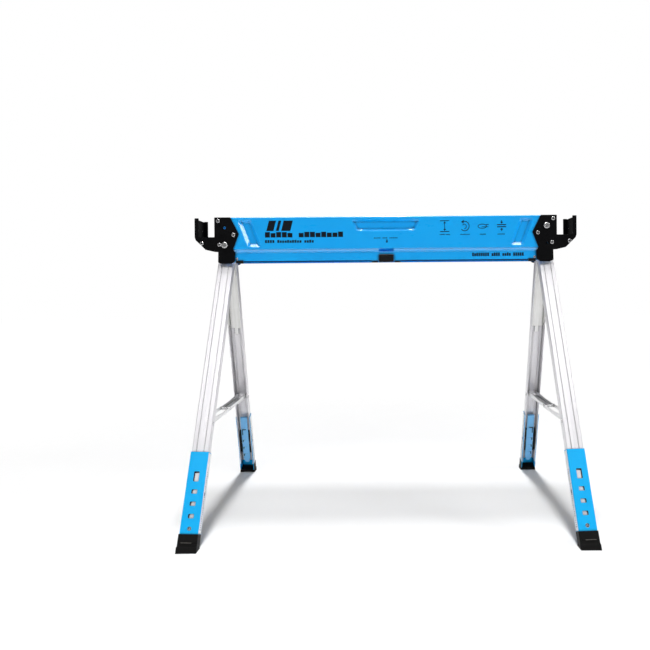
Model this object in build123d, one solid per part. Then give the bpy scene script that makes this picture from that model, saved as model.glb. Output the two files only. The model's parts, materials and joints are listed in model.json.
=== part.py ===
"""Folding sawhorse: a pressed steel beam on two swing-up pairs of telescoping legs.

Frame: X along the beam, -Y is the front, +Z up, origin on the floor under the middle of the beam.
Each pair of legs hangs from a yoke on a cross bolt. The legs hinge apart on the yoke, a two-part
brace holds them open, and the closed pair swings up inside the hollow beam. The right pair hangs
from the upper bolt hole and the left pair from the lower one, so that the two lie above each other.
"""
import os
from math import cos, radians, sin

from build123d import *

# ---- driving dimensions, millimetres and degrees -------------------------------------------------
HEIGHT = 830.0              # floor to beam top
BEAM_BOTTOM = 702.0
BEAM_HALF_LENGTH = 484.0
BEAM_HALF_WIDTH = 45.0      # outer face of the upper side panel
FLANGE_HALF_WIDTH = 42.0    # outer face of the stepped-in lower flange
STEP_TOP = 739.5            # step between the panel and the lower flange
STEP_FOOT = 726.5
SKIN = 1.2                  # beam sheet
BEAM_BEND = 3.0
FLANGE_END = 465.0          # the lower flange stops behind the bracket's skirt
HEM_TURN = 1.6              # lower edge rolled in
HEM_RISE = 3.4
PLATE = 2.0                 # end bracket sheet
BOLT_X = 457.5
BOLT_Z = {"left": 751.0, "right": 800.0}
SPARE_HOLE_Z = {"left": 800.0, "right": 751.0}
BOLT_R = 4.0
BUSH_R = 6.5
RUN = 0.08                  # running clearance on a radius
THROUGH = 60.0              # a cut this long passes every wall
RIVET_HOLE_R = 2.6
GUARD_HOLE_R = 2.4

SLOT_SEAT = 774.0           # floor of the timber slot
SLOT_OUT = 531.0            # outer wall of the timber slot
WEB_IN = 539.6              # pan edge, just short of the bracket web
WEB_HOLE_R = 3.6
WEB_HOLE = (24.0, 797.0)    # y and z of the spare hole in the bracket web
SLOT_IN = 486.0

HINGE_Z = 712.0             # leg hinge height with the legs down
HINGE_Y = 12.75             # leg hinge beside the middle plane
LEAN = 23.7                 # each leg from the pair's plane, open
SPLAY = 1.7                 # the pair's plane from upright, outward
LEG_W = 42.0
LEG_D = 24.0
LEG_T = 1.6
LEG_END = 738.0             # lower end of the leg channel, from its hinge
HINGE_PIN_R = 4.0

SLEEVE_W = 45.6
SLEEVE_T = 1.5
SLEEVE_GAP = 0.3
SLEEVE_TOP = 548.0          # from the hinge
SLEEVE_LEN = 214.0
HOLE_PITCH = 28.5
LOCK_AT = 181.5             # lock pin, from the sleeve top
LOCK_R = 4.0
LOCK_SLACK = 0.9            # the pin tilts a little in its holes
LOCK_BACK = 0.2             # pin tip behind the sleeve wall, released

FOOT_W = 48.0
FOOT_RISE = 36.0            # foot above the floor along the leg

LEVER_PIVOT = 659.0         # from the hinge
LEVER_TOP = 556.0
LEVER_W = 22.0
LEVER_Y = 1.5               # lever sheet, from the hinge line towards the middle plane

BRACE_AT = 473.5            # brace pivot, from the hinge
BRACE_PIN_R = 3.0
BRACE_T = 1.5
BRACE_HALF = HINGE_Y + BRACE_AT * sin(radians(LEAN))    # pivot to the centre hinge
FORK_W = 30.0
TONGUE_W = 26.0
FORK_LEN = 97.0

LATCH_W = 42.0
LATCH_X = 1.5

os.makedirs("parts", exist_ok=True)


def save(name, shape):
    export_step(shape, f"parts/{name}.step")


def block(x0, x1, y0, y1, z0, z1):
    """A box between two corners."""
    return Pos((x0 + x1) / 2, (y0 + y1) / 2, (z0 + z1) / 2) * Box(x1 - x0, y1 - y0, z1 - z0)


def rod_x(radius, x0, x1, y=0.0, z=0.0):
    return Pos((x0 + x1) / 2, y, z) * Rot(0, 90, 0) * Cylinder(radius, x1 - x0)


def rod_y(radius, y0, y1, x=0.0, z=0.0):
    return Pos(x, (y0 + y1) / 2, z) * Rot(90, 0, 0) * Cylinder(radius, y1 - y0)


def outline_xz(points, y0, y1, radius=0.0):
    """A plate with the given outline in X and Z, between two Y values."""
    face = make_face(Polyline(*[(x, 0, z) for x, z in points], close=True))
    plate = extrude(face, amount=y1 - y0, dir=(0, 1, 0))
    if radius:
        plate = fillet(plate.edges().filter_by(Axis.Y), radius)
    return Pos(0, y0, 0) * plate


def outline_yz(points, x0, x1):
    """A bar with the given outline in Y and Z, between two X values."""
    face = make_face(Polyline(*[(0, y, z) for y, z in points], close=True))
    return Pos(x0, 0, 0) * extrude(face, amount=x1 - x0, dir=(1, 0, 0))


def dome_rivet(radius, height):
    """A domed rivet head on the XY plane, its top towards +Z."""
    head = Cylinder(radius, height, align=(Align.CENTER, Align.CENTER, Align.MIN))
    return fillet(head.edges().group_by(Axis.Z)[-1], height * 0.6)


def rivet_front(x, z, face, shank, radius=5.5, height=2.2):
    """A tubular rivet through the front wall, its head on the face at -face."""
    head = Pos(x, -face, z) * Rot(90, 0, 0) * dome_rivet(radius, height)
    socket = rod_y(radius * 0.45, -face - height - 1, -face - 0.4, x, z)
    return head + rod_y(radius * 0.45, -face, -face + shank, x, z) - socket


def mirrored(shape):
    """The same piece on the rear side."""
    return mirror(shape, about=Plane.XZ)


# ---- beam ---------------------------------------------------------------------------------------
def beam_profile(inset):
    """Half-open section of the beam, outer face moved in by the inset."""
    top = HEIGHT - inset
    wide = BEAM_HALF_WIDTH - inset
    narrow = FLANGE_HALF_WIDTH - inset
    middle = (wide + narrow) / 2
    bottom = BEAM_BOTTOM - (20.0 if inset else 0.0)
    hem = [(narrow - HEM_TURN, BEAM_BOTTOM), (narrow, BEAM_BOTTOM + HEM_RISE)]
    if inset:
        hem = [(narrow - HEM_TURN, bottom)] + hem
    step = [(narrow, STEP_FOOT), (narrow - 0.3, STEP_FOOT + 2), (middle + 0.8, STEP_FOOT + 6),
            (middle - 0.3, STEP_TOP - 2.5), (wide, STEP_TOP)]
    side = hem + step + [(wide, top)]
    return side + [(-y, z) for y, z in reversed(side)]


def beam_bar(inset, half_length):
    bar = outline_yz(beam_profile(inset), -half_length, half_length)
    edges = [e for e in bar.edges().filter_by(Axis.X) if e.center().Z > HEIGHT - inset - 0.1]
    return fillet(edges, BEAM_BEND - inset)


def pocket(points, slope, grow):
    """A pressed pocket with sloping walls in the front panel, drawn in X and Z."""
    face = make_face(Polyline(*[(x, z) for x, z in points], close=True))
    face = Plane.XZ * fillet(face.vertices(), 5.0)
    if grow:
        face = offset(face, grow)
    face = Pos(0, -BEAM_HALF_WIDTH, 0) * face
    return extrude(face, amount=POCKET_DEPTH + grow, dir=(0, 1, 0), taper=slope)


PARALLELOGRAM = [(-422, 823), (-383, 823), (-353, 745), (-392, 745)]
TRAPEZOID = [(-98, 821.5), (98, 821.5), (84, 789), (-84, 789)]
POCKET_DEPTH = 7.5
SIDE_SLOPE = 50             # pocket walls, from square to the panel
MIDDLE_SLOPE = 42


def pockets(grow):
    right = [(-x, z) for x, z in PARALLELOGRAM]
    front = [pocket(PARALLELOGRAM, SIDE_SLOPE, grow), pocket(right, SIDE_SLOPE, grow),
             pocket(TRAPEZOID, MIDDLE_SLOPE, grow)]
    return front + [mirrored(p) for p in front]


def make_beam():
    outer = beam_bar(0.0, BEAM_HALF_LENGTH)
    cavity = beam_bar(SKIN, BEAM_HALF_LENGTH + 10)
    for cut in pockets(0.0):
        outer -= cut
    for wall in pockets(SKIN):
        cavity -= wall
    shell = outer - cavity
    for x0, x1 in ((-500, -FLANGE_END), (FLANGE_END, 500)):
        shell -= block(x0, x1, -THROUGH, THROUGH, BEAM_BOTTOM - 10, STEP_TOP)
    for side, sx in (("left", -1), ("right", 1)):
        for z in (BOLT_Z[side], SPARE_HOLE_Z[side]):
            shell -= rod_y(BOLT_R + RUN, -THROUGH, THROUGH, sx * BOLT_X, z)
    slot = block(LATCH_X - LATCH_W / 2, LATCH_X + LATCH_W / 2, -THROUGH, -30, STEP_FOOT + 1,
                 STEP_TOP - 1)
    window = block(LATCH_X - 13, LATCH_X + 13, -THROUGH, -30, 707.5, 722.5)
    shell -= slot
    shell -= window
    for x, z in GUARD_RIVETS:
        shell -= rod_y(GUARD_HOLE_R, -THROUGH, 0, x, z)
    for x, z in RIVETS:
        for sx in (-1, 1):
            if abs(x) < BEAM_HALF_LENGTH:
                shell -= rod_y(RIVET_HOLE_R, -THROUGH, THROUGH, sx * x, z)
    return shell


# ---- end brackets: one folded plate each, two cheeks and an outer web -----------------------------
RIVETS = [(476, 820), (432.5, 780), (472.5, 752.5), (522.5, 756)]
GUARD_RIVETS = [(-424, 711.5), (424, 711.5)]
CHEEK = [(486.5, 830), (441.5, 830), (417.5, 782), (434, 739), (427.5, 728.5), (429, 704.5),
         (439, 698), (466.5, 698), (476.5, 702.5), (476, 731.5), (496, 737), (511.5, 738),
         (539.5, 765.5), (542.5, 774), (542.5, 828), (531, 828), (531, 774), (486.5, 774)]
CHEEK_ROUND = 1.6


def make_bracket(side, sx):
    inner = BEAM_HALF_WIDTH
    points = [(sx * x, z) for x, z in CHEEK]
    front = outline_xz(points, -inner - PLATE, -inner, CHEEK_ROUND)
    for z in (BOLT_Z[side], SPARE_HOLE_Z[side]):
        front -= rod_y(BOLT_R + RUN, -THROUGH, 0, sx * BOLT_X, z)
    for x, z in RIVETS:
        front -= rod_y(RIVET_HOLE_R, -THROUGH, 0, sx * x, z)
    web_line = [(511.5, 738), (539.5, 765.5), (542.5, 774), (542.5, 826), (540.5, 826), (540.5, 774.4),
                (537.8, 766.6), (511.5, 740.8)]
    web = outline_xz([(sx * x, z) for x, z in web_line], -inner, inner)
    web -= rod_x(WEB_HOLE_R, *sorted((sx * 560, sx * 520)), *WEB_HOLE)
    return front + mirrored(front) + web


def make_seat(sx):
    """The folded pan that the timber rests on, between the cheeks."""
    y = BEAM_HALF_WIDTH
    pan = block(SLOT_IN + 1, WEB_IN, -y, y, SLOT_SEAT - 2, SLOT_SEAT)
    pan += block(SLOT_IN + 1, SLOT_IN + 3, -y, y, SLOT_SEAT - 24, SLOT_SEAT)
    skirt = [(SLOT_IN + 1, SLOT_SEAT), (SLOT_OUT - 1, SLOT_SEAT), (SLOT_OUT - 1, SLOT_SEAT - 10),
             (512, SLOT_SEAT - 24), (SLOT_IN + 1, SLOT_SEAT - 24)]
    for sy in (-1, 1):
        y0, y1 = sorted((sy * y, sy * (y - 2)))
        pan += outline_xz(skirt, y0, y1)
    pan -= rod_y(RIVET_HOLE_R, -THROUGH, THROUGH, *RIVETS[-1])
    return pan if sx > 0 else mirror(pan, about=Plane.YZ)


def make_rivets():
    rivets = []
    for sx in (-1, 1):
        for x, z in RIVETS:
            rivets.append(rivet_front(sx * x, z, BEAM_HALF_WIDTH + PLATE, 4.6))
    rivets += [mirrored(r) for r in rivets]
    for x, z in GUARD_RIVETS:
        rivets.append(rivet_front(x, z, FLANGE_HALF_WIDTH, 3.4, 3.4, 1.4))
    return Compound(rivets)


def make_guards():
    """Small moulded guards over the lower front edge of the beam near each bracket."""
    guards = []
    for sx in (-1, 1):
        x0, x1 = sorted((sx * 406, sx * 426.5))
        y = FLANGE_HALF_WIDTH
        guard = block(x0, x1, -y - 2.2, -y + 4.0, BEAM_BOTTOM - 3, BEAM_BOTTOM)
        guard += block(x0, x1, -y - 2.2, -y, BEAM_BOTTOM - 3, BEAM_BOTTOM + 5)
        guards.append(guard)
    return Compound(guards)


# ---- cross bolts ----------------------------------------------------------------------------------
def hex_y(flats, y0, y1, x, z):
    prism = extrude(Plane.XZ * RegularPolygon(flats / 2, 6, major_radius=False), amount=y0 - y1)
    return Pos(x, y0, z) * prism


def make_bolts():
    face = BEAM_HALF_WIDTH + PLATE
    pieces = []
    for side, sx in (("left", -1), ("right", 1)):
        x, z = sx * BOLT_X, BOLT_Z[side]
        head = Pos(x, -face, z) * Rot(90, 0, 0) * dome_rivet(9.2, 4.6)
        cross = block(x - 5.2, x + 5.2, -face - 9, -face - 2.6, z - 1.1, z + 1.1)
        cross += block(x - 1.1, x + 1.1, -face - 9, -face - 2.6, z - 5.2, z + 5.2)
        bolt = head + rod_y(BOLT_R, -face, face + 8.0, x, z) - cross
        nut = hex_y(13.0, face + 1.6, face + 7.0, x, z) - rod_y(BOLT_R, face, face + 9, x, z)
        washer = rod_y(8.5, face, face + 1.6, x, z) - rod_y(BOLT_R, face - 1, face + 2, x, z)
        pieces += [bolt, nut, washer]
    return Compound(pieces)


def make_bush(side, sx):
    reach = BEAM_HALF_WIDTH - SKIN - 0.5
    tube = rod_y(BUSH_R, -reach, reach) - rod_y(BOLT_R + RUN, -THROUGH, THROUGH)
    return Pos(sx * BOLT_X, 0, BOLT_Z[side]) * tube


# ---- frames of a leg pair -------------------------------------------------------------------------
def pair_frame(side, sx):
    """At the bolt, tilted so that -Z runs down the splayed pair."""
    return Pos(sx * BOLT_X, 0, BOLT_Z[side]) * Rot(0, -sx * SPLAY, 0)


def hinge_drop(side):
    return (BOLT_Z[side] - HINGE_Z) / cos(radians(SPLAY))


def leg_frame(side, sx):
    """At the front leg's hinge, -Z down the open leg and -Y towards its outer face."""
    return pair_frame(side, sx) * Pos(0, -HINGE_Y, -hinge_drop(side)) * Rot(-LEAN, 0, 0)


def brace_frame(side, sx):
    """At the front brace's pivot, +Y towards the centre hinge."""
    drop = hinge_drop(side) + BRACE_AT * cos(radians(LEAN))
    return pair_frame(side, sx) * Pos(0, -BRACE_HALF, -drop)


# ---- yoke and hinge pins ---------------------------------------------------------------------------
EAR_X = 17.0                # outer face of the yoke's ears
EAR_T = 2.5


def make_yoke(side, sx):
    drop = hinge_drop(side)
    half_y = 22.5
    box = block(-EAR_X, EAR_X, -half_y, half_y, -drop - 9, 14)
    box = fillet(box.edges().filter_by(Axis.X), 8.0)
    box -= block(-EAR_X + EAR_T, EAR_X - EAR_T, -half_y + EAR_T, half_y - EAR_T, -drop - 20, 20)
    box -= block(-EAR_X + EAR_T, EAR_X - EAR_T, -THROUGH, THROUGH, -drop - 20, -drop + 19)
    box -= rod_y(BUSH_R + RUN, -THROUGH, THROUGH)
    for sy in (-1, 1):
        box -= rod_x(HINGE_PIN_R, -40, 40, sy * HINGE_Y, -drop)
    return pair_frame(side, sx) * box


def make_hinge_pins(side, sx):
    drop = hinge_drop(side)
    half = LEG_W / 2
    pins = []
    for sy in (-1, 1):
        pin = rod_x(HINGE_PIN_R, -half - 0.4, half + 0.4)
        for hx in (-1, 1):
            head = Rot(0, hx * 90, 0) * dome_rivet(6.2, 2.4)
            pin += Pos(hx * (half + 0.3), 0, 0) * head
        pins.append(Pos(0, sy * HINGE_Y, -drop) * pin)
    return Compound([pair_frame(side, sx) * p for p in pins])


# ---- leg channel, in the leg frame ------------------------------------------------------------------
BEAD_X = 9.5
BEAD_W = 1.6
BEAD_D = 1.0


def channel_section(half_w, depth_out, depth_in, t, bead):
    """Section of a channel open towards +Y; the web carries two shallow pressed beads."""
    out = [(-half_w, depth_in), (-half_w, -depth_out)]
    inn = [(-half_w + t, depth_in), (-half_w + t, -depth_out + t)]
    if bead:
        for sx in (-1, 1):
            x = sx * BEAD_X
            out += [(x - BEAD_W, -depth_out), (x, -depth_out + BEAD_D), (x + BEAD_W, -depth_out)]
            inn += [(x - BEAD_W, -depth_out + t), (x, -depth_out + t + BEAD_D),
                    (x + BEAD_W, -depth_out + t)]
    out += [(half_w, -depth_out), (half_w, depth_in)]
    inn += [(half_w - t, -depth_out + t), (half_w - t, depth_in)]
    return out + inn[::-1]


def channel(half_w, depth_out, depth_in, t, z_low, z_high, bead=False, corner=0.0):
    points = channel_section(half_w, depth_out, depth_in, t, bead)
    face = make_face(Polyline(*points, close=True))
    if corner:
        tips = [v for v in face.vertices() if abs(abs(v.X) - half_w) < 0.01
                and abs(v.Y + depth_out) < 0.01]
        face = fillet(tips, corner)
    return Pos(0, 0, z_low) * extrude(face, amount=z_high - z_low)


def make_leg():
    half = LEG_D / 2
    leg = channel(LEG_W / 2, half, half, LEG_T, -LEG_END, 11, True, 2.2)
    leg -= block(-THROUGH, THROUGH, -60, -half + 4, -16, 40)
    crown = block(-THROUGH, THROUGH, -THROUGH, THROUGH, 0, 40) - rod_x(11.0, -THROUGH, THROUGH)
    leg -= crown
    leg -= rod_x(HINGE_PIN_R + RUN, -THROUGH, THROUGH)
    leg -= rod_x(BRACE_PIN_R, -THROUGH, THROUGH, 0, -BRACE_AT)
    lock_z = -SLEEVE_TOP - LOCK_AT
    leg -= rod_y(LOCK_R + LOCK_SLACK, -THROUGH, 0, 0, lock_z)
    return leg


def make_stiffener():
    """Nested channel that doubles the leg wall below the hinge."""
    outer = LEG_W / 2 - LEG_T
    half = LEG_D / 2
    liner = channel(outer, half - LEG_T - BEAD_D, half - 0.5, 1.4, -250, -4)
    liner -= block(-THROUGH, THROUGH, -60, -half + 6, -24, 40)
    for lower in (-1, 1):
        liner -= Pos(lower * 20, 14, -250) * Rot(-30, 0, 0) * Box(30, 60, 50)
    ring = rod_x(9.5, -outer, outer) - rod_x(60, -outer + 1.4, outer - 1.4)
    liner += ring
    liner -= rod_x(HINGE_PIN_R + RUN, -THROUGH, THROUGH)
    return liner


# ---- telescoping sleeve and foot, in the leg frame ---------------------------------------------------
def make_sleeve():
    out = LEG_D / 2 + SLEEVE_GAP + SLEEVE_T
    sleeve = channel(SLEEVE_W / 2, out, LEG_D / 2, SLEEVE_T, -SLEEVE_TOP - SLEEVE_LEN, -SLEEVE_TOP,
                     False, 2.6)
    face = [(60.0, 6.75, 24.0)] + [(LOCK_AT - n * HOLE_PITCH, 7.0, 10.0) for n in (3, 2, 1)]
    for down, half_w, tall in face:
        z = -SLEEVE_TOP - down
        hole = block(-half_w, half_w, -THROUGH, 0, z - tall / 2, z + tall / 2)
        sleeve -= fillet(hole.edges().filter_by(Axis.Y), 2.0)
    sleeve -= rod_y(LOCK_R + LOCK_SLACK, -THROUGH, 0, 0, -SLEEVE_TOP - LOCK_AT)
    return sleeve


def floor_cut(side, sx):
    """Everything below the floor, seen from the leg frame."""
    return leg_frame(side, sx).inverse() * block(-900, 900, -900, 900, -400, 0)


def make_foot(side, sx):
    """Moulded boot on the sleeve's end, cut level with the floor."""
    floor_at = HINGE_Z / (cos(radians(LEAN)) * cos(radians(SPLAY)))
    top = -floor_at + FOOT_RISE
    out = LEG_D / 2 + SLEEVE_GAP + SLEEVE_T
    half = FOOT_W / 2
    lip = 1.9
    boot = block(-half, half, -out - lip, LEG_D / 2, -floor_at - 40, top)
    boot = fillet(boot.edges().filter_by(Axis.Z), 2.0)
    rim = block(-half - 1.0, half + 1.0, -out - lip - 1.6, LEG_D / 2, -floor_at - 40, -floor_at + 7)
    boot += fillet(rim.edges().filter_by(Axis.Z), 2.0)
    groove = block(-THROUGH, THROUGH, -out - lip - 3, -out - lip + 1.5, -floor_at + 14, -floor_at + 17)
    boot -= groove
    sleeve_low = -SLEEVE_TOP - SLEEVE_LEN
    boot -= block(-SLEEVE_W / 2, SLEEVE_W / 2, -out, 60, sleeve_low, top + 5)
    return boot - floor_cut(side, sx)


# ---- lock lever inside the lower leg, in the leg frame --------------------------------------------
TRUNNION_R = 2.6
HOLDER_X = 18.6


def make_lever():
    low = SLEEVE_TOP + LOCK_AT
    y0, y1 = LEVER_Y, LEVER_Y + 1.8
    strip = block(-LEVER_W / 2, LEVER_W / 2, y0, y1, -low, -LEVER_TOP)
    strip += rod_y(8.0, y0, y1, 0, -low)
    strip -= block(-LEVER_W, -8.0, 0, 10, -low - 20, -low + 6)
    strip -= block(8.0, LEVER_W, 0, 10, -low - 20, -low + 6)
    for sx in (-1, 1):
        x0, x1 = sorted((sx * (LEVER_W / 2 - 1.8), sx * LEVER_W / 2))
        strip += block(x0, x1, y0 - 6.0, y0, -LEVER_PIVOT - 40, -LEVER_PIVOT + 40)
    strip += block(-LEVER_W / 2, LEVER_W / 2, y0 - 5.0, y1, -LEVER_TOP - 1.8, -LEVER_TOP)
    strip += rod_x(TRUNNION_R, LEVER_W / 2 - 1.0, LEVER_W / 2 + 5.5, LEVER_Y - 3.6, -LEVER_PIVOT)
    strip += rod_x(TRUNNION_R, -LEVER_W / 2 - 5.5, -LEVER_W / 2 + 1.0, LEVER_Y - 3.6, -LEVER_PIVOT)
    return strip


def make_lock_pin():
    z = -SLEEVE_TOP - LOCK_AT
    tip = -LEG_D / 2 - SLEEVE_GAP + LOCK_BACK
    pin = rod_y(LOCK_R, tip, LEVER_Y, 0, z)
    pin = chamfer(pin.edges().group_by(Axis.Y)[0], 0.6)
    return pin + rod_y(6.6, LEVER_Y - 2.6, LEVER_Y, 0, z)


def make_holder():
    """Moulded cradle that carries the lever's trunnions between the leg walls."""
    base_y = -LEG_D / 2 + LEG_T + BEAD_D
    z = -LEVER_PIVOT
    cradle = block(-HOLDER_X, HOLDER_X, base_y, base_y + 2.5, z - 45, z + 45)
    for sx in (-1, 1):
        x0, x1 = sorted((sx * (LEVER_W / 2 + 2.2), sx * HOLDER_X))
        cheek = outline_yz([(base_y, z - 45), (LEVER_Y + 1, z - 34), (LEVER_Y + 1, z + 34),
                            (base_y, z + 45)], x0, x1)
        cradle += cheek
    cradle -= rod_x(TRUNNION_R + RUN, -THROUGH, THROUGH, LEVER_Y - 3.6, z)
    cradle -= block(-6, 6, -THROUGH, 0, z - 30, z + 30)
    return cradle


def make_lever_spring():
    """Torsion coils on the trunnions."""
    coils = []
    for sx in (-1, 1):
        x0, x1 = sorted((sx * (LEVER_W / 2 + 0.2), sx * (LEVER_W / 2 + 2.0)))
        ring = rod_x(4.4, x0, x1) - rod_x(TRUNNION_R + 0.15, -THROUGH, THROUGH)
        coils.append(Pos(0, LEVER_Y - 3.6, -LEVER_PIVOT) * ring)
    return Compound(coils)


# ---- spreader brace, in the brace frame -----------------------------------------------------------
def brace_side(x_out, web_to):
    """A channel half of the brace, open upward, its walls tapering towards the centre hinge."""
    wall_line = [(-6, -5), (BRACE_HALF, -5), (BRACE_HALF, 4.5), (110, 4.5), (30, 8.5), (-6, 8.5)]
    half = outline_yz(wall_line, -x_out, x_out)
    half += rod_x(4.8, -x_out, x_out, BRACE_HALF, -0.2)
    half -= block(-x_out + BRACE_T, x_out - BRACE_T, -20, BRACE_HALF + 20, -5 + BRACE_T, 20)
    half -= block(-x_out + BRACE_T, x_out - BRACE_T, web_to, BRACE_HALF + 20, -20, 20)
    half -= block(-x_out + BRACE_T, x_out - BRACE_T, -20, 9, -20, 20)
    half -= rod_x(BRACE_PIN_R + RUN, -THROUGH, THROUGH)
    return half


def make_brace_fork():
    fork = brace_side(FORK_W / 2, BRACE_HALF - FORK_LEN)
    return fork - rod_x(2.4, -THROUGH, THROUGH, BRACE_HALF, 0)


def make_brace_tongue():
    """The half that lies between the fork's walls, drawn on the front side."""
    tongue = brace_side(TONGUE_W / 2, BRACE_HALF - 4)
    return tongue - rod_x(2.4, -THROUGH, THROUGH, BRACE_HALF, 0)


def make_fork_rivets():
    """Short rivets in the fork's walls at the centre hinge."""
    rivets = []
    for sx in (-1, 1):
        x_wall = sx * (FORK_W / 2 - BRACE_T)
        x_face = sx * FORK_W / 2
        x0, x1 = sorted((x_wall, x_face))
        head = Pos(x_face, 0, 0) * Rot(0, sx * 90, 0) * dome_rivet(4.4, 1.8)
        rivets.append(Pos(0, BRACE_HALF, 0) * (head + rod_x(2.4, x0, x1)))
    return Compound(rivets)


def make_tongue_pin():
    return rod_x(2.4, -TONGUE_W / 2, TONGUE_W / 2, BRACE_HALF, 0)


def make_brace_pin(width):
    """The brace's pivot pin with its spacer collars, in the leg frame."""
    half = LEG_W / 2
    pin = rod_x(BRACE_PIN_R, -half - 0.2, half + 0.2)
    for sx in (-1, 1):
        x0, x1 = sorted((sx * (width / 2 + 0.3), sx * (half - LEG_T - 0.1)))
        pin += rod_x(5.2, x0, x1)
        pin += Pos(sx * half, 0, 0) * Rot(0, sx * 90, 0) * dome_rivet(4.8, 2.0)
    return Pos(0, 0, -BRACE_AT) * pin


# ---- latch in the middle of the front flange ------------------------------------------------------
def make_latch():
    """Pull block with a tongue that passes through the flange under the folded legs."""
    face = -FLANGE_HALF_WIDTH
    x0 = LATCH_X - LATCH_W / 2 + 0.5
    x1 = LATCH_X + LATCH_W / 2 - 0.5
    pull = block(x0, x1, face - 7.2, face - 0.2, 699.5, 721.0)
    pull = fillet(pull.edges().filter_by(Axis.X).group_by(Axis.Y)[0], 2.0)
    tongue = [(face - 1, 709.0), (-34, 709.0), (-21.5, 718.5), (-21.5, 721.5), (face - 1, 721.5)]
    return pull + outline_yz(tongue, LATCH_X - 11.8, LATCH_X + 11.8)


def make_latch_guide():
    """Moulded collar inside the flange that steers the tongue, with two wings below the edge."""
    back = -FLANGE_HALF_WIDTH + SKIN + HEM_TURN
    outer = block(LATCH_X - 17, LATCH_X + 17, back, back + 4.2, 703.5, 726.0)
    outer -= block(LATCH_X - 12.3, LATCH_X + 12.3, -THROUGH, 0, 708.5, 722.0)
    for sx in (-1, 1):
        x0, x1 = sorted((LATCH_X + sx * 23.5, LATCH_X + sx * 40.5))
        outer += block(x0, x1, -FLANGE_HALF_WIDTH - 2.0, back + 4.2, BEAM_BOTTOM - 3.2, BEAM_BOTTOM)
        outer += block(x0, x1, back, back + 4.2, BEAM_BOTTOM - 3.2, BEAM_BOTTOM + 10)
        x2, x3 = sorted((LATCH_X + sx * 16.0, LATCH_X + sx * 30.0))
        outer += block(x2, x3, back, back + 4.2, 703.5, BEAM_BOTTOM + 10)
    return outer


# ---- write every piece ---------------------------------------------------------------------------
def make_ends():
    for side, sx in (("left", -1), ("right", 1)):
        save(f"end_bracket_{side}", make_bracket(side, sx))
        save(f"timber_seat_{side}", make_seat(sx))
        save(f"pivot_bush_{side}", make_bush(side, sx))
        save(f"yoke_{side}", make_yoke(side, sx))
        save(f"leg_hinge_pins_{side}", make_hinge_pins(side, sx))


def make_legs():
    common = {"leg": make_leg(), "leg_stiffener": make_stiffener(), "leg_sleeve": make_sleeve(),
              "lock_lever": make_lever(), "lock_pin": make_lock_pin(), "lever_holder": make_holder(),
              "lever_spring": make_lever_spring()}
    for side, sx in (("left", -1), ("right", 1)):
        here = leg_frame(side, sx)
        pieces = {name: here * piece for name, piece in common.items()}
        pieces["foot"] = here * make_foot(side, sx)
        for name, piece in pieces.items():
            save(f"{name}_front_{side}", piece)
            save(f"{name}_rear_{side}", mirrored(piece))
        save(f"brace_pin_front_{side}", here * make_brace_pin(FORK_W))
        save(f"brace_pin_rear_{side}", mirrored(here * make_brace_pin(TONGUE_W)))


def make_braces():
    for side, sx in (("left", -1), ("right", 1)):
        here = brace_frame(side, sx)
        save(f"brace_front_{side}", here * make_brace_fork())
        save(f"brace_rear_{side}", mirrored(here * make_brace_tongue()))
        save(f"brace_rivets_{side}", here * make_fork_rivets())
        save(f"brace_centre_pin_{side}", mirrored(here * make_tongue_pin()))


save("beam_shell", make_beam())
save("beam_rivets", make_rivets())
save("edge_guards", make_guards())
save("pivot_bolts", make_bolts())
save("latch_slider", make_latch())
save("latch_guide", make_latch_guide())
make_ends()
make_legs()
make_braces()
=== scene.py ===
"""Looks of the folding sawhorse: coats, metals, printed marks, height scales and springs.

Everything is in metres in the CAD frame: X along the beam, -Y the front, +Z up. The outlines of the
printed marks and the sizes of the sleeve's holes are in millimetres.
"""
import json
import math
import random

import bmesh
import bpy
from mathutils import Matrix, Vector


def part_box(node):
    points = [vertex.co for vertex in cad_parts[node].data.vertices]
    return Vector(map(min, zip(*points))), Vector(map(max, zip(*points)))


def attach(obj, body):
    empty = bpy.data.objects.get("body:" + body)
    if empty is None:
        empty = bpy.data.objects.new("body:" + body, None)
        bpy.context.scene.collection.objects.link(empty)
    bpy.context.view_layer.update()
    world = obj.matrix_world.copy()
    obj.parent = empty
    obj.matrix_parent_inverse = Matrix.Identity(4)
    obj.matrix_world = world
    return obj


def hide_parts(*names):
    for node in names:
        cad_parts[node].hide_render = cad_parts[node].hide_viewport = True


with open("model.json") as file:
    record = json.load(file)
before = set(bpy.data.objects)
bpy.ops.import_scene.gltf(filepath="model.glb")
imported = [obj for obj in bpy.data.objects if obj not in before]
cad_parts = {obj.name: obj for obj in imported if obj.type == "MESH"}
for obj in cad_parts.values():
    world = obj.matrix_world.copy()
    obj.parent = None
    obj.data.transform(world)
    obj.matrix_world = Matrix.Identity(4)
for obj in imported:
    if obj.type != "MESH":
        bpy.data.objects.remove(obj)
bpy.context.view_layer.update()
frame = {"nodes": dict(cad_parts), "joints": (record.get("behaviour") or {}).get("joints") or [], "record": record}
joints = {j["name"]: j for j in frame["joints"]}
SIDES = ("left", "right")
LEGS = [f"{end}_{side}" for end in ("front", "rear") for side in SIDES]
MM = 0.001
PRINT = 0.12 * MM           # thickness of a printed mark
random.seed(11)


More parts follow.
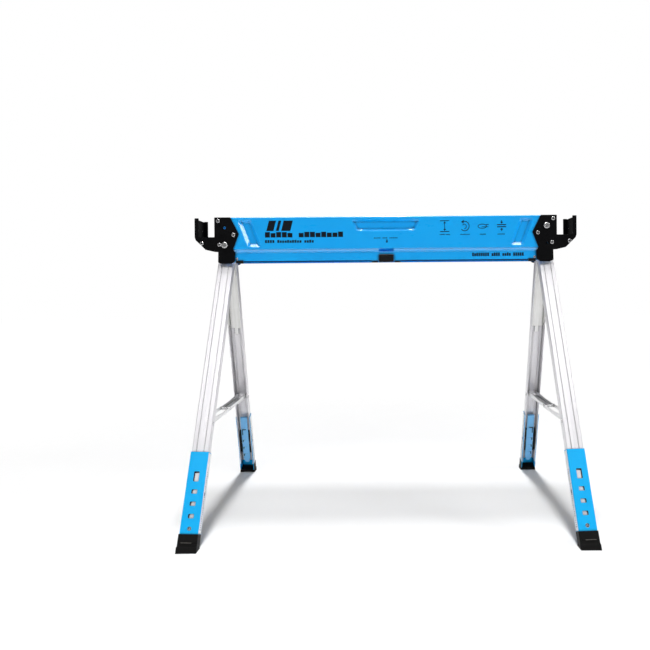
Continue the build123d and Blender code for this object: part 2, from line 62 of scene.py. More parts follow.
# ---- node helpers ---------------------------------------------------------------------------------
class Coat:
    """A Principled material with short calls for the nodes that this script uses."""

    def __init__(self, name, **values):
        self.material = bpy.data.materials.new(name)
        self.material.use_nodes = True
        self.nodes = self.material.node_tree.nodes
        self.links = self.material.node_tree.links
        self.bsdf = self.nodes["Principled BSDF"]
        self.place = self.nodes.new("ShaderNodeTexCoord").outputs["Object"]
        for socket, value in values.items():
            self.bsdf.inputs[socket.replace("_", " ")].default_value = value

    def feed(self, socket, value):
        if isinstance(value, bpy.types.NodeSocket):
            self.links.new(value, socket)
        elif value is not None:
            socket.default_value = value

    def set(self, name, value):
        self.feed(self.bsdf.inputs[name], value)

    def stretched(self, axes, scales):
        """Object coordinates along three directions, each with its own scale."""
        join = self.nodes.new("ShaderNodeCombineXYZ")
        for i, (axis, scale) in enumerate(zip(axes, scales)):
            dot = self.nodes.new("ShaderNodeVectorMath")
            dot.operation = "DOT_PRODUCT"
            self.links.new(self.place, dot.inputs[0])
            dot.inputs[1].default_value = Vector(axis) * scale
            self.links.new(dot.outputs["Value"], join.inputs[i])
        return join.outputs[0]

    def noise(self, scale, detail=3.0, rough=0.55, where=None):
        node = self.nodes.new("ShaderNodeTexNoise")
        node.inputs["Scale"].default_value = scale
        node.inputs["Detail"].default_value = detail
        node.inputs["Roughness"].default_value = rough
        self.links.new(where or self.place, node.inputs["Vector"])
        return node.outputs["Fac"]

    def cells(self, scale, where=None):
        node = self.nodes.new("ShaderNodeTexVoronoi")
        node.inputs["Scale"].default_value = scale
        self.links.new(where or self.place, node.inputs["Vector"])
        return node.outputs["Color"]

    def span(self, value, low, high, to_low=0.0, to_high=1.0):
        node = self.nodes.new("ShaderNodeMapRange")
        self.feed(node.inputs["Value"], value)
        node.inputs["From Min"].default_value = low
        node.inputs["From Max"].default_value = high
        node.inputs["To Min"].default_value = to_low
        node.inputs["To Max"].default_value = to_high
        return node.outputs["Result"]

    def mix(self, factor, a, b):
        node = self.nodes.new("ShaderNodeMix")
        node.data_type = "RGBA"
        self.feed(node.inputs["Factor"], factor)
        self.feed(node.inputs[6], a)
        self.feed(node.inputs[7], b)
        return node.outputs[2]

    def math(self, operation, a, b):
        node = self.nodes.new("ShaderNodeMath")
        node.operation = operation
        self.feed(node.inputs[0], a)
        self.feed(node.inputs[1], b)
        return node.outputs[0]

    def bump(self, height, strength, distance, under=None):
        node = self.nodes.new("ShaderNodeBump")
        node.inputs["Strength"].default_value = strength
        node.inputs["Distance"].default_value = distance
        self.feed(node.inputs["Height"], height)
        if under is not None:
            self.links.new(under, node.inputs["Normal"])
        return node.outputs["Normal"]

    def soft_edges(self, radius):
        node = self.nodes.new("ShaderNodeBevel")
        node.samples = 4
        node.inputs["Radius"].default_value = radius
        return node.outputs["Normal"]

    def crevice(self, distance, open_at=0.95, shut_at=0.45):
        """1 deep in seams, holes and corners, 0 in the open."""
        node = self.nodes.new("ShaderNodeAmbientOcclusion")
        node.samples = 6
        node.inputs["Distance"].default_value = distance
        return self.span(node.outputs["AO"], shut_at, open_at, 1.0, 0.0)

    def edge_mask(self, radius, low=0.9, high=0.995):
        """1 along sharp edges, 0 on open faces."""
        dot = self.nodes.new("ShaderNodeVectorMath")
        dot.operation = "DOT_PRODUCT"
        geometry = self.nodes.new("ShaderNodeNewGeometry")
        self.links.new(self.soft_edges(radius), dot.inputs[0])
        self.links.new(geometry.outputs["Normal"], dot.inputs[1])
        return self.span(dot.outputs["Value"], low, high, 1.0, 0.0)


def rgb(r, g, b):
    return (r, g, b, 1.0)


# ---- materials ------------------------------------------------------------------------------------
def powder_coat(name, base, light, primer, gloss, wear, shine=0.20, lacquer=0.0):
    """Sprayed colour: fine orange peel, slow colour drift, scuffs, paler worn edges and painted shade darkening
    creases and hollows.
    """
    coat = Coat(name, Specular_IOR_Level=shine, Coat_Weight=lacquer, Coat_Roughness=0.11)
    drift = coat.span(coat.noise(7.0, 4.0), 0.35, 0.65)
    colour = coat.mix(drift, base, light)
    speck = coat.span(coat.noise(1400.0, 1.0), 0.30, 0.42, 0.10, 0.0)
    colour = coat.mix(speck, colour, rgb(*[0.55 * c for c in base[:3]]))
    patchy = coat.span(coat.noise(160.0, 4.0, 0.7), 0.48, 0.62)
    worn = coat.math("MULTIPLY", coat.edge_mask(1.1 * MM), patchy)
    colour = coat.mix(coat.math("MULTIPLY", worn, wear), colour, primer)
    # painted shade: the colour darkens towards near black in creases, holes and corners, where shade falls
    crevice_shade = coat.math("MULTIPLY", coat.crevice(7.0 * MM, 0.98, 0.60), 0.8)
    coat.set("Base Color", coat.mix(crevice_shade, colour, rgb(*[0.12 * c for c in base[:3]])))
    scuffs = coat.noise(60.0, 6.0, 0.7, coat.stretched([(1, 0, 0), (0, 1, 0), (0, 0, 1)], (0.25, 1, 1)))
    coat.set("Roughness", coat.span(scuffs, 0.3, 0.7, gloss - 0.05, gloss + 0.09))
    peel = coat.noise(620.0, 2.0)
    coat.set("Normal", coat.bump(peel, 0.10, 0.15 * MM, coat.soft_edges(0.5 * MM)))
    return coat.material


def drawn_steel(name, axes, colour, dark, rough, grain=0.35, mottle=0.12):
    """Zinc-coated sheet with a grain drawn along the last axis, and painted shade darkening it near holes and
    corners.
    """
    coat = Coat(name, Metallic=0.62, Specular_IOR_Level=0.4)
    fine = coat.noise(1.0, 3.0, 0.6, coat.stretched(axes, (900, 900, 9)))
    broad = coat.noise(1.0, 2.0, 0.5, coat.stretched(axes, (150, 150, 3)))
    spangle = coat.cells(95.0, coat.stretched(axes, (1, 1, 0.55)))
    streaks = coat.span(coat.math("ADD", fine, broad), 0.75, 1.3, 0.0, grain)
    tint = coat.mix(streaks, colour, dark)
    tint = coat.mix(coat.span(spangle, 0.0, 1.0, 0.0, mottle), tint, dark)
    # painted shade: the colour darkens towards near black in holes, seams and corners, where shade falls
    crevice_shade = coat.math("MULTIPLY", coat.crevice(6.0 * MM), 0.8)
    coat.set("Base Color", coat.mix(crevice_shade, tint, rgb(0.07, 0.065, 0.06)))
    coat.set("Roughness", coat.span(fine, 0.3, 0.7, rough - 0.07, rough + 0.10))
    coat.set("Normal", coat.bump(fine, 0.16, 0.12 * MM, coat.soft_edges(0.6 * MM)))
    return coat.material


def turned_steel(name, colour, rough):
    coat = Coat(name, Metallic=1.0)
    stain = coat.noise(420.0, 4.0, 0.6)
    coat.set("Base Color", coat.mix(coat.span(stain, 0.4, 0.7, 0.0, 0.35), colour, rgb(0.30, 0.29, 0.28)))
    coat.set("Roughness", coat.span(stain, 0.3, 0.7, rough - 0.06, rough + 0.10))
    coat.set("Normal", coat.bump(coat.noise(1500.0, 2.0), 0.12, 0.05 * MM, coat.soft_edges(0.35 * MM)))
    return coat.material


def moulded(name, base, pale, rough, texture, depth, shine):
    """Moulded plastic or rubber with a fine stipple and handling marks."""
    coat = Coat(name, Specular_IOR_Level=shine)
    dust = coat.span(coat.noise(45.0, 5.0, 0.7), 0.52, 0.78, 0.0, 0.30)
    edge = coat.math("MULTIPLY", coat.edge_mask(1.0 * MM), 0.45)
    coat.set("Base Color", coat.mix(coat.math("MAXIMUM", dust, edge), base, pale))
    coat.set("Roughness", coat.span(coat.noise(180.0, 3.0), 0.3, 0.7, rough - 0.08, rough + 0.10))
    stipple = coat.noise(texture, 2.0)
    coat.set("Normal", coat.bump(stipple, 0.35, depth * MM, coat.soft_edges(0.6 * MM)))
    return coat.material


def ink(name, base, pale, rough):
    """Screen-printed ink, a little broken where it meets the coat's texture."""
    coat = Coat(name, Specular_IOR_Level=0.12)
    thin = coat.span(coat.noise(700.0, 3.0, 0.7), 0.52, 0.75, 0.0, 0.35)
    coat.set("Base Color", coat.mix(thin, base, pale))
    coat.set("Roughness", coat.span(coat.noise(260.0, 2.0), 0.3, 0.7, rough - 0.05, rough + 0.08))
    coat.set("Normal", coat.bump(coat.noise(620.0, 2.0), 0.08, 0.1 * MM))
    return coat.material


def leg_matrix(leg):
    """Leg frame: origin at the leg's hinge, X along the hinge, -Z down the leg, Y toward the other leg.

    It is right-handed at the front and mirrored at the rear.
    """
    hinge = joints[f"leg_hinge_{leg}"]
    down = Vector(joints[f"sleeve_slide_{leg}"]["axis"]).normalized()
    x = Vector((1, 0, 0))
    x = (x - down * x.dot(down)).normalized()
    y = (-down).cross(x)
    if leg.startswith("rear"):
        y = -y
    rotation = Matrix((x, y, -down)).transposed().to_4x4()
    return Matrix.Translation(Vector(hinge["pos_m"])) @ rotation


LEG_MATRIX = {leg: leg_matrix(leg) for leg in LEGS}

BLUE = powder_coat("blue_coat", rgb(0.000, 0.40, 0.98), rgb(0.001, 0.43, 1.0),
                   rgb(0.32, 0.62, 0.85), 0.30, 0.5, lacquer=1.0)
SLEEVE_BLUE = powder_coat("blue_coat_sleeve", rgb(0.004, 0.41, 0.86), rgb(0.008, 0.45, 0.90),
                          rgb(0.45, 0.72, 0.92), 0.32, 0.55)
# pale grey painted as the highlight along the front feet's ledge
RIB_HIGHLIGHT_GREY = moulded("foot_rib_painted_highlight", rgb(0.07, 0.066, 0.06), rgb(0.16, 0.15, 0.14), 0.45, 900.0, 0.10, 0.3)
LEVER_BLUE = powder_coat("blue_coat_lever", rgb(0.17, 0.50, 0.88), rgb(0.22, 0.55, 0.92),
                         rgb(0.45, 0.62, 0.80), 0.34, 0.5)
BLACK = powder_coat("black_coat", rgb(0.003, 0.003, 0.0035), rgb(0.005, 0.005, 0.0055),
                    rgb(0.11, 0.105, 0.10), 0.30, 0.35, 0.07)
YOKE_BLACK = powder_coat("black_coat_yoke", rgb(0.010, 0.010, 0.011), rgb(0.016, 0.016, 0.017),
                         rgb(0.22, 0.21, 0.20), 0.40, 0.6)
RUBBER = moulded("foot_rubber_mould", rgb(0.003, 0.003, 0.003), rgb(0.016, 0.015, 0.014),
                 0.55, 900.0, 0.10, 0.12)
PLASTIC = moulded("black_plastic_mould", rgb(0.004, 0.004, 0.0045), rgb(0.03, 0.03, 0.03),
                  0.40, 1300.0, 0.06, 0.20)
STEEL = turned_steel("bright_zinc", rgb(0.66, 0.66, 0.67), 0.24)
# dark navy painted as the shade under the flange's folded edge
HEM_SHADE_BLUE = powder_coat("blue_coat_hem_painted_shade", rgb(0.002, 0.035, 0.12), rgb(0.003, 0.05, 0.16),
                       rgb(0.05, 0.15, 0.30), 0.40, 0.3, 0.10)
# near black painted as the shade inside the rivets' hollows
HOLLOW_SHADE = moulded("rivet_hollow_painted_shade", rgb(0.020, 0.020, 0.022), rgb(0.06, 0.06, 0.06),
                      0.55, 1500.0, 0.04, 0.2)
# near black painted as the shade in the tops and outer sides of the sleeves' holes
LIP_SHADE = moulded("hole_lip_painted_shade", rgb(0.010, 0.016, 0.026), rgb(0.05, 0.06, 0.08),
                   0.55, 1500.0, 0.04, 0.2)
BLACK_INK = ink("black_ink", rgb(0.004, 0.007, 0.011), rgb(0.005, 0.03, 0.07), 0.45)
# white of the sleeves' labels: partly print, partly a painted highlight of the side walls' glare
WHITE_LABEL_AND_GLARE = ink("white_label_and_painted_highlight", rgb(0.90, 0.91, 0.92), rgb(0.80, 0.86, 0.92), 0.35)
TICK_INK = ink("tick_ink", rgb(0.03, 0.10, 0.24), rgb(0.15, 0.28, 0.45), 0.45)


def dress():
    """Gives each CAD node its material."""
    plain = {"blue_paint": BLUE, "black_paint": BLACK, "foot_rubber": RUBBER,
             "black_plastic": PLASTIC, "bright_steel": STEEL}
    silver, shade = rgb(0.83, 0.82, 0.84), rgb(0.55, 0.535, 0.57)
    zinc = {"brace": drawn_steel("zinc_brace", [(1, 0, 0), (0, 0, 1), (0, 1, 0)], rgb(0.86, 0.86, 0.87),
                                 rgb(0.60, 0.60, 0.60), 0.33)}
    leg_steel = {}
    for leg, matrix in LEG_MATRIX.items():
        axes = [matrix.col[i].to_3d() for i in range(3)]
        leg_steel[leg] = drawn_steel(f"leg_steel_{leg}", axes, silver, shade, 0.34)
        zinc[leg] = drawn_steel(f"zinc_{leg}", axes, rgb(0.90, 0.90, 0.89), rgb(0.55, 0.54, 0.51), 0.40)
    for part in frame["record"]["subparts"]:
        name, slot = part["node"], part["material_slot"]
        if slot == "leg_steel":
            material = leg_steel[name.removeprefix("leg_")]
        elif slot == "zinc_steel":
            material = zinc.get(name.removeprefix("leg_stiffener_"), zinc["brace"])
        elif name.startswith("leg_sleeve"):
            material = SLEEVE_BLUE
        elif name.startswith("lock_lever"):
            material = LEVER_BLUE
        elif name.startswith("yoke"):
            material = YOKE_BLACK
        else:
            material = plain[slot]
        mesh = frame["nodes"][name].data
        mesh.materials.clear()
        mesh.materials.append(material)


# ---- mesh helpers ---------------------------------------------------------------------------------
def new_piece(name, mesh_data, material, body):
    mesh = bpy.data.meshes.new(name)
    bmesh.ops.recalc_face_normals(mesh_data, faces=mesh_data.faces)
    mesh_data.to_mesh(mesh)
    mesh_data.free()
    mesh.materials.append(material)
    piece = bpy.data.objects.new(name, mesh)
    bpy.context.scene.collection.objects.link(piece)
    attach(piece, body)
    return piece


def add_prism(mesh_data, outline, low, high, place):
    """A closed prism: outline in two coordinates, from low to high in the third."""
    rings = [[mesh_data.verts.new(place(u, v, w)) for u, v in outline] for w in (low, high)]
    mesh_data.faces.new(rings[0])
    mesh_data.faces.new(rings[1][::-1])
    count = len(outline)
    for i in range(count):
        j = (i + 1) % count
        mesh_data.faces.new((rings[0][i], rings[1][i], rings[1][j], rings[0][j]))


def rect(x0, z0, x1, z1, lean=0.0):
    """A bar; lean pushes its top sideways."""
    return [(x0, z0), (x1, z0), (x1 + lean, z1), (x0 + lean, z1)]


def rounded(x0, z0, x1, z1, radius, steps=4):
    points = []
    corners = [(x1 - radius, z1 - radius, 0), (x0 + radius, z1 - radius, 90),
               (x0 + radius, z0 + radius, 180), (x1 - radius, z0 + radius, 270)]
    for cx, cz, start in corners:
        for k in range(steps + 1):
            a = math.radians(start + 90 * k / steps)
            points.append((cx + radius * math.cos(a), cz + radius * math.sin(a)))
    return points


def arc_band(cx, cz, rx, rz, start, end, width, steps=18):
    """A curved stroke as a row of short four-sided plates."""
    quads = []
    for k in range(steps):
        a, b = (math.radians(start + (end - start) * (k + i) / steps) for i in (0, 1))
        quads.append([(cx + (rx + w) * math.cos(t), cz + (rz + w) * math.sin(t))
                      for t, w in ((a, -width / 2), (b, -width / 2), (b, width / 2), (a, width / 2))])
    return quads


def arrow(x, z_tail, z_tip, half_head, head, stroke):
    """A vertical arrow in one outline."""
    turn = math.copysign(head, z_tail - z_tip)
    return [(x - stroke / 2, z_tail), (x + stroke / 2, z_tail), (x + stroke / 2, z_tip + turn),
            (x + half_head, z_tip + turn), (x, z_tip), (x - half_head, z_tip + turn),
            (x - stroke / 2, z_tip + turn)]


# ---- printed marks on the front of the beam, in millimetres along it and up from the floor ---------
FLANGE_BACK = 3.0 * MM      # flange face behind the panel face
CAPTION_PITCH = 3.0         # from one block to the next in a caption under a sign


def word_blocks(x0, x1, z0, z1, gap, words):
    """A line of print suggested by plain blocks, grouped like words."""
    total = sum(words) + len(words) - 1
    step = (x1 - x0) / total
    blocks, at = [], 0
    for count in words:
        for k in range(count):
            a = x0 + (at + k) * step
            height = (z1 - z0) * random.choice((1.0, 1.0, 0.82))
            blocks.append(rect(a, z0, a + step * (1 - gap), z0 + height))
        at += count + 1
    return blocks


def panel_marks():
    marks = []
    for x, width in ((-339, 20), (-312, 8), (-297, 26)):        # a plain mark of slanted bars
        marks.append(rect(x, 790.5, x + width, 819.5, 7.5))
    marks += word_blocks(-343, -119, 772.0, 787.0, 0.14, (5, 8))
    marks += word_blocks(-343, -203, 756.5, 764.5, 0.26, (4, 10, 4))
    marks += word_blocks(-33, 35, 767.0, 769.4, 0.3, (4, 3, 5))
    marks.append(arrow(3.5, 763.5, 753.5, 3.4, 4.6, 3.2))
    # height between two bars
    marks += [rect(155, 814.5, 181, 816.5), rect(155, 784.0, 181, 786.0)]
    marks += [arrow(168, 800.5, 813.5, 4.0, 5.0, 1.6), arrow(168, 800.5, 787.0, 4.0, 5.0, 1.6)]
    # a turning arrow
    marks += arc_band(225, 800, 12.5, 13.5, -140, 110, 2.0)
    marks.append([(214.5, 812.0), (222.5, 817.5), (221.5, 807.5)])
    marks += arc_band(224, 799, 5.5, 6.5, -90, 150, 1.8)
    # a light weight: oval with a stem
    marks += arc_band(275, 799, 12, 6.0, 0, 360, 1.8, 24)
    marks.append(rect(271, 796.5, 289.0, 798.3, 5.0))
    marks += [rect(284, 803, 292, 804.8, 2.0)]
    # two jaws pressed together
    marks += [rect(317, 801.8, 343, 804.4), rect(317, 796.0, 343, 798.6)]
    marks += [arrow(330, 815.5, 806.0, 4.2, 5.4, 1.8), arrow(330, 785.0, 794.4, 4.2, 5.4, 1.8)]
    for centre, words in ((169, (5, 4)), (226, (9,)), (277, (6,)), (329, (7,))):
        half = CAPTION_PITCH / 2 * (sum(words) + len(words) - 1)
        marks += word_blocks(centre - half, centre + half, 775.2, 777.8, 0.32, words)
    return marks


def print_marks():
    """The marks of the panel and of the flange, each a piece a little proud of the sheet."""
    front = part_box("beam_shell")[0].y
    panel = bmesh.new()
    for outline in panel_marks():
        add_prism(panel, outline, 0, 1,
                  lambda u, v, w: Vector((u * MM, front + PRINT * (0.5 - 1.5 * w), v * MM)))
    new_piece("print_panel", panel, BLACK_INK, "beam")
    flange = bmesh.new()
    for outline in word_blocks(246, 394, 714.5, 724.0, 0.22, (8, 4, 4, 5)):
        add_prism(flange, outline, 0, 1,
                  lambda u, v, w: Vector((u * MM, front + FLANGE_BACK + PRINT * (0.5 - 1.5 * w), v * MM)))
    new_piece("print_flange", flange, BLACK_INK, "beam")


# ---- painted shade in the tubular rivets' hollows and under the front flange's folded lower edge ---
HEAD_HEIGHT = 0.2           # rivet head, height over diameter
HOLLOW = 0.215              # rivet hollow, radius over head diameter
HOLLOW_ABOVE = 0.45 * MM    # floor of the hollow above the foot of the head
HOLLOW_SIDES = 20
HEM_END = 21.5 * MM         # the folded edge stops this far inside the edge guards
HEM_GAP = 1.0 * MM          # and this far beside the latch guide


def islands(node):
    """Lowest and highest corner of each separate solid in a node."""
    data = bmesh.new()
    data.from_mesh(frame["nodes"][node].data)
    bmesh.ops.remove_doubles(data, verts=data.verts, dist=0.001 * MM)
    boxes, left = [], set(data.verts)
    while left:
        group, todo = set(), [left.pop()]
        while todo:
            vert = todo.pop()
            group.add(vert)
            near = {edge.other_vert(vert) for edge in vert.link_edges} & left
            left -= near
            todo += near
        points = [vert.co for vert in group]
        boxes.append((Vector([min(p[i] for p in points) for i in range(3)]),
                      Vector([max(p[i] for p in points) for i in range(3)])))
    data.free()
    return boxes


def rivet_shade_discs():
    """A dark disc at the bottom of each rivet's socket, painted shade for the depth of the hole."""
    hollows = bmesh.new()
    for low, high in islands("beam_rivets"):
        centre, head = (low + high) / 2, high.x - low.x
        side = -1 if centre.y < 0 else 1
        face = low.y if side < 0 else high.y
        radius = HOLLOW * head
        outline = [(centre.x + radius * math.cos(a), centre.z + radius * math.sin(a))
                   for a in (2 * math.pi * k / HOLLOW_SIDES for k in range(HOLLOW_SIDES))]
        floor_y = face - side * (HEAD_HEIGHT * head - HOLLOW_ABOVE)
        add_prism(hollows, outline, floor_y, floor_y + side * 0.12 * MM, lambda u, v, w: Vector((u, w, v)))
    new_piece("rivet_shade_discs", hollows, HOLLOW_SHADE, "beam")


def hem_shade_line():
    """The sheet's folded edge along the bottom of the front flange, coloured dark navy as painted shade under the
    fold.
    """
    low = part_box("beam_shell")[0]
    guide_low, guide_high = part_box("latch_guide")
    guards_low, guards_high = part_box("edge_guards")
    reach = (guards_high.x - guards_low.x) / 2 - HEM_END
    front = low.y + FLANGE_BACK
    hem = bmesh.new()
    outline = [(front - 0.25 * MM, low.z + 3.2 * MM), (front - 0.25 * MM, low.z + 2.0 * MM),
               (front + 1.2 * MM, low.z - 0.1 * MM), (front + 2.4 * MM, low.z - 0.1 * MM),
               (front + 1.2 * MM, low.z + 1.6 * MM), (front + 0.4 * MM, low.z + 3.2 * MM)]
    for x0, x1 in ((-reach, guide_low.x - HEM_GAP), (guide_high.x + HEM_GAP, reach)):
        add_prism(hem, outline, x0, x1, lambda u, v, w: Vector((w, u, v)))
    new_piece("hem_edge_shade", hem, HEM_SHADE_BLUE, "beam")


# ---- height scales on the sleeves -----------------------------------------------------------------
TICK_PITCH = 5.0 * MM
TICK_WIDTH = 1.5 * MM
TICK_HALF = 3.4 * MM
LONG_TICK_HALF = 5.6 * MM
LONG_EVERY = 5


def local_box(node, matrix, keep=lambda p: True):
    """Lowest and highest corner of a node's vertices in a local frame."""
    back = matrix.inverted()
    points = [back @ v.co for v in frame["nodes"][node].data.vertices]
    points = [p for p in points if keep(p)]
    return (Vector([min(p[i] for p in points) for i in range(3)]),
            Vector([max(p[i] for p in points) for i in range(3)]))


def height_scales():
    """A white label with bare ticks on both sides of each sleeve; its white, spread over most of the wall, is
    partly a painted highlight.
    """
    for leg, matrix in LEG_MATRIX.items():
        low, high = local_box(f"leg_sleeve_{leg}", matrix)
        front = leg.startswith("front")
        deep = (low.y, high.y) if front else (-high.y, -low.y)
        label, ticks = bmesh.new(), bmesh.new()
        for sx, wall in ((-1, low.x), (1, high.x)):
            def on_wall(u, v, w, sx=sx, wall=wall):
                y = u if front else -u
                return matrix @ Vector((wall + sx * w, y, v))
            y0, y1 = deep[0] + 3.4 * MM, deep[1] - 2.0 * MM
            z0, z1 = low.z + 22 * MM, high.z - 2 * MM
            # the label covers most of the wall: print, and a painted highlight of the wall's glare
            add_prism(label, rounded(y0, z0, y1, z1, 1.5 * MM), -0.05 * MM, PRINT, on_wall)
            middle = (y0 + y1) / 2
            z, count = z0 + 8 * MM, 0
            while z < z1 - 44 * MM:
                half = LONG_TICK_HALF if count % LONG_EVERY == 0 else TICK_HALF
                add_prism(ticks, rect(middle - half, z, middle + half, z + TICK_WIDTH),
                          0.5 * PRINT, 1.7 * PRINT, on_wall)
                z += TICK_PITCH
                count += 1
            pointer = rounded(middle - 4 * MM, z - 62 * MM, middle + 4 * MM, z - 52 * MM, 2 * MM)
            add_prism(ticks, pointer, 0.5 * PRINT, 1.9 * PRINT, on_wall)
        new_piece(f"scale_label_and_glare_{leg}", label, WHITE_LABEL_AND_GLARE, f"sleeve_{leg}")
        new_piece(f"scale_ticks_{leg}", ticks, TICK_INK, f"sleeve_{leg}")


# ---- dark lips in the sleeve's punched holes, painted shade ----------------------------------------
SLEEVE_HOLES = [            # below the sleeve's top, half width, height, lip depth at the top
    (60.0, 6.75, 24.0, 4.0), (96.0, 7.0, 10.0, 4.4), (124.5, 7.0, 10.0, 4.4), (153.0, 7.0, 10.0, 4.4)]
SIDE_LIP = 2.6              # lip's width at the hole's outer side
LIP_SHEET = 0.3 * MM
LIP_ARC_STEPS = 8
PIN_HOLE_HEIGHT = 10.0
PIN_ROOM = 4.35             # kept clear to the side of the middle of a pin hole
PIN_RISE = 4.85             # and above it, where the tilting pin rides up
LIP_AT = 1.25 * MM          # lip's face below the sleeve's face


def hole_shade_lips():
    """Dark lips round the outer side and the top of each hole, painted shade where the hole's top and outer side
    fall in shadow.

    Known fault: low.y is the outer face on every leg, so at the rear, where high.y is used, the lips
    lie on the sleeve's open side, 23.5 mm from the wall that they belong to.
    """
    for leg, matrix in LEG_MATRIX.items():
        low, high = local_box(f"leg_sleeve_{leg}", matrix)
        front = leg.startswith("front")
        face = low.y if front else high.y
        inward = 1 if front else -1
        left = -1 if leg.endswith("left") else 1
        lips = bmesh.new()
        for down, half, tall, top in SLEEVE_HOLES:
            z1, z0 = high.z - (down - tall / 2) * MM, high.z - (down + tall / 2) * MM
            a, b = left * half * MM, left * (half - SIDE_LIP) * MM
            c = -left * half * MM
            outline = [(a, z0), (b, z0 + 1.0 * MM)]
            if tall > PIN_HOLE_HEIGHT:
                outline += [(b, z1 - top * MM), (c, z1 - (top - 1.2) * MM)]
            else:            # the lock pin comes through here
                middle = (z0 + z1) / 2
                for k in range(LIP_ARC_STEPS + 1):
                    turn = math.radians(90 * k / LIP_ARC_STEPS)
                    outline.append((left * PIN_ROOM * MM * math.cos(turn),
                                    middle + PIN_RISE * MM * math.sin(turn)))
                outline.append((c, middle + PIN_RISE * MM))
            outline += [(c, z1), (a, z1)]
            near = face + inward * LIP_AT
            add_prism(lips, outline, near, near + inward * LIP_SHEET,
                      lambda u, v, w: matrix @ Vector((u, w, v)))
        new_piece(f"hole_shade_lips_{leg}", lips, LIP_SHADE, f"sleeve_{leg}")


# ---- pale rib across the front feet, a painted highlight -------------------------------------------
RIB_HALF = 13 * MM
RIB_ASIDE = 2 * MM          # middle of the rib outward from the middle of the foot
RIB_FOOT, RIB_TOP = 24 * MM, 25.6 * MM
RIB_PROUD, RIB_SUNK = 0.35 * MM, 0.4 * MM


def foot_ledges():
    """The pale rib across the front of each front foot, its grey a painted highlight along the foot's ledge."""
    for leg, matrix in LEG_MATRIX.items():
        if not leg.startswith("front"):
            continue
        low, high = local_box(f"foot_{leg}", matrix)
        rib = bmesh.new()
        out = 1 if leg.endswith("right") else -1
        middle = (low.x + high.x) / 2 + out * RIB_ASIDE
        outline = rounded(middle - RIB_HALF, low.z + RIB_FOOT, middle + RIB_HALF, low.z + RIB_TOP, 0.7 * MM)
        add_prism(rib, outline, low.y - RIB_PROUD, low.y + RIB_SUNK,
                  lambda u, v, w: matrix @ Vector((u, w, v)))
        new_piece(f"foot_rib_{leg}", rib, RIB_HIGHLIGHT_GREY, f"sleeve_{leg}")


# ---- torsion springs on the lever trunnions -------------------------------------------------------
SPRING_TURNS = 3
SPRING_STEPS = 20           # points in a turn
WIRE_SHARE = 0.16           # wire radius over the spring's width


def add_tube(mesh_data, path, radius, around=8):
    """A round wire along a path of points."""
    rings = []
    for i, point in enumerate(path):
        along = (path[min(i + 1, len(path) - 1)] - path[max(i - 1, 0)]).normalized()
        side = along.orthogonal().normalized() if not rings else (side - along * side.dot(along)).normalized()
        up = along.cross(side)
        rings.append([mesh_data.verts.new(point + (side * math.cos(a) + up * math.sin(a)) * radius)
                      for a in (2 * math.pi * k / around for k in range(around))])
    for a, b in zip(rings, rings[1:]):
        for k in range(around):
            j = (k + 1) % around
            mesh_data.faces.new((a[k], a[j], b[j], b[k]))
    mesh_data.faces.new(rings[0][::-1])
    mesh_data.faces.new(rings[-1])


def lever_springs():
    """A wound spring on each trunnion, in the place of the plain CAD spring."""
    for leg, matrix in LEG_MATRIX.items():
        node = f"lever_spring_{leg}"
        wires = bmesh.new()
        for sx in (-1, 1):
            low, high = local_box(node, matrix, lambda p: p.x * sx > 0)
            centre, size = (low + high) / 2, high - low
            wire = WIRE_SHARE * size.x
            coil = size.z / 2 - wire
            path = []
            for k in range(SPRING_TURNS * SPRING_STEPS + 1):
                a = 2 * math.pi * k / SPRING_STEPS
                x = low.x + wire + (size.x - 2 * wire) * k / (SPRING_TURNS * SPRING_STEPS)
                y, z = centre.y + coil * math.sin(a), centre.z + coil * math.cos(a)
                path.append(matrix @ Vector((x, y, z)))
            add_tube(wires, path, wire)
        spring = new_piece(f"torsion_spring_{leg}", wires, STEEL, f"leg_{leg}")
        for face in spring.data.polygons:
            face.use_smooth = True
        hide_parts(node)


# ---- studio ---------------------------------------------------------------------------------------
AMBIENT = 0.155
FLOOR_FADE = (0.8, 2.0)     # distance from the object over which the floor turns white
FLOOR_HALF = 12
DOME_RADIUS = 14
GLOSS_ONLY = "glint_sheet"  # shows in reflections and lights nothing else
LIGHTS = [                  # name, place, aim, width, length, watts
    ("overhead_strip", (0, 0, 12.0), (0, 0, 0), 0.8, 4.6, 1340),
    ("front_fill", (0.0, -4.8, 4.4), (0, 0, 0.5), 5.0, 2.4, 102),
    ("right_key", (6.3, -2.6, 4.45), (0, 0, 0.6), 1.8, 1.8, 120),
    (GLOSS_ONLY, (0, 0.1, 9.0), (0, 0, 0.5), 5.0, 4.0, 800),
]


def stage_mesh(name, fill):
    data = bmesh.new()
    fill(data)
    mesh = bpy.data.meshes.new(name)
    data.to_mesh(mesh)
    data.free()
    piece = bpy.data.objects.new(name, mesh)
    bpy.context.scene.collection.objects.link(piece)
    return piece


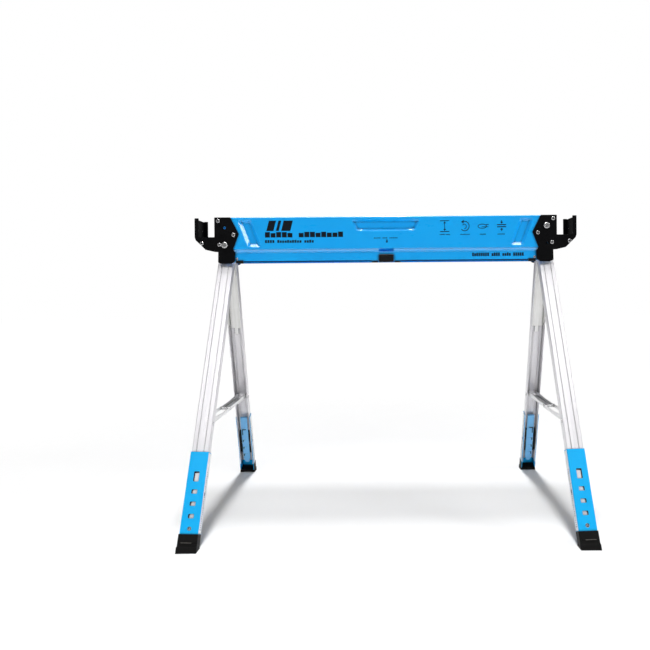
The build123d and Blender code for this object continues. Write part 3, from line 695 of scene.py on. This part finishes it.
def studio():
    """White paper under a white dome, plain ambient light and the lights listed above."""
    scene = bpy.context.scene
    scene.view_settings.view_transform = "Standard"
    world = bpy.data.worlds.new("studio")
    scene.world = world
    world.use_nodes = True
    background = world.node_tree.nodes["Background"]
    background.inputs["Color"].default_value = rgb(1.0, 1.0, 1.0)
    background.inputs["Strength"].default_value = AMBIENT

    # a white dome that only the camera sees, so that the page stays white above soft light
    dome = stage_mesh("dome", lambda data: bmesh.ops.create_icosphere(
        data, subdivisions=4, radius=DOME_RADIUS))
    for kind in ("diffuse", "glossy", "transmission", "shadow"):
        setattr(dome, f"visible_{kind}", False)
    glow = Coat("dome_white", Base_Color=rgb(0, 0, 0), Specular_IOR_Level=0.0,
                Emission_Color=rgb(1, 1, 1), Emission_Strength=1.0)
    dome.data.materials.append(glow.material)

    # paper that turns into the white of the dome away from the object
    floor = stage_mesh("floor", lambda data: bmesh.ops.create_grid(
        data, x_segments=2, y_segments=2, size=FLOOR_HALF))
    coat = Coat("floor_paper", Specular_IOR_Level=0.1, Emission_Color=rgb(1, 1, 1))
    length = coat.nodes.new("ShaderNodeVectorMath")
    length.operation = "LENGTH"
    coat.links.new(coat.place, length.inputs[0])
    away = coat.span(length.outputs["Value"], *FLOOR_FADE)
    paper = coat.mix(coat.noise(3.0, 3.0), rgb(0.80, 0.80, 0.80), rgb(0.83, 0.83, 0.83))
    coat.set("Base Color", coat.mix(away, paper, rgb(0, 0, 0)))
    coat.set("Emission Strength", away)
    coat.set("Roughness", coat.span(coat.noise(40.0), 0.3, 0.7, 0.65, 0.8))
    floor.data.materials.append(coat.material)

    for name, at, aim, size_x, size_y, power in LIGHTS:
        data = bpy.data.lights.new(name, "AREA")
        data.shape = "RECTANGLE"
        data.size, data.size_y = size_x, size_y
        data.energy = power
        light = bpy.data.objects.new(name, data)
        aimed = (Vector(aim) - Vector(at)).to_track_quat("-Z", "Y").to_matrix().to_4x4()
        light.matrix_world = Matrix.Translation(at) @ aimed
        light.visible_diffuse = name != GLOSS_ONLY
        scene.collection.objects.link(light)


def camera():
    """A 34 mm lens 1.8 m in front and a little below the beam, with the frame shifted to one side."""
    data = bpy.data.cameras.new("camera")
    data.sensor_width = 36.0
    data.lens = 34.17
    data.shift_x, data.shift_y = -0.094, -0.0497
    data.clip_start = 0.01
    eye = bpy.data.objects.new("camera", data)
    eye.matrix_world = (Matrix.Translation((0, -1.800, 0.620))
                        @ Matrix.Rotation(math.radians(90 - 0.25), 4, "X")
                        @ Matrix.Rotation(math.radians(-0.469), 4, "Z"))
    bpy.context.scene.collection.objects.link(eye)
    bpy.context.scene.camera = eye


dress()
print_marks()
rivet_shade_discs()
hem_shade_line()
height_scales()
hole_shade_lips()
foot_ledges()
lever_springs()
studio()
camera()
